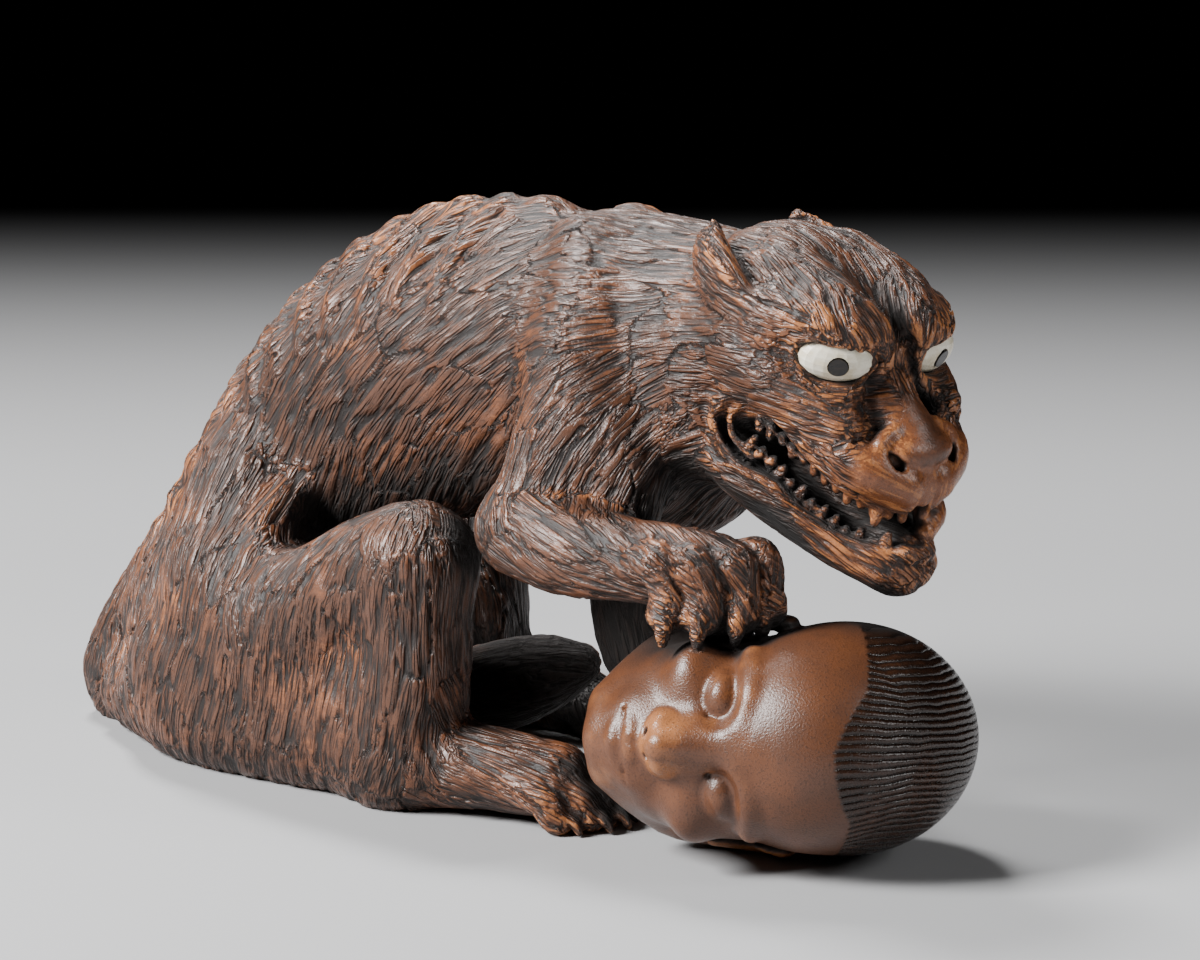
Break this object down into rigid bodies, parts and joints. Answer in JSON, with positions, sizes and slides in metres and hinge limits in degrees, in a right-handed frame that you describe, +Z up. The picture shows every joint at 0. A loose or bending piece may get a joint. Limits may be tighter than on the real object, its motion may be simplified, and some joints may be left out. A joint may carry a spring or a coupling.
{
  "type": "carved wooden netsuke",
  "caption": "Small wooden toggle carving of a starved wolf resting a forepaw on a severed head, with inlaid bone eyes and dark horn pupils.",
  "frame": {"origin": "centre of the bounding box, at the level of the flattened underside", "axes": "+X from the wolf's rump to its head, +Y to the wolf's left side, +Z up"},
  "size_m": [0.0492, 0.025, 0.0271],
  "materials": {
    "stained_boxwood": "polished dark stain, worn on the high points",
    "bone": "polished bone",
    "black_horn": "polished black horn"
  },
  "bodies": {
    "root": {"wolf_on_head": "stained_boxwood", "eye_inlay_right": "bone", "eye_inlay_left": "bone", "pupil_right": "black_horn", "pupil_left": "black_horn"}
  },
  "joints": []
}
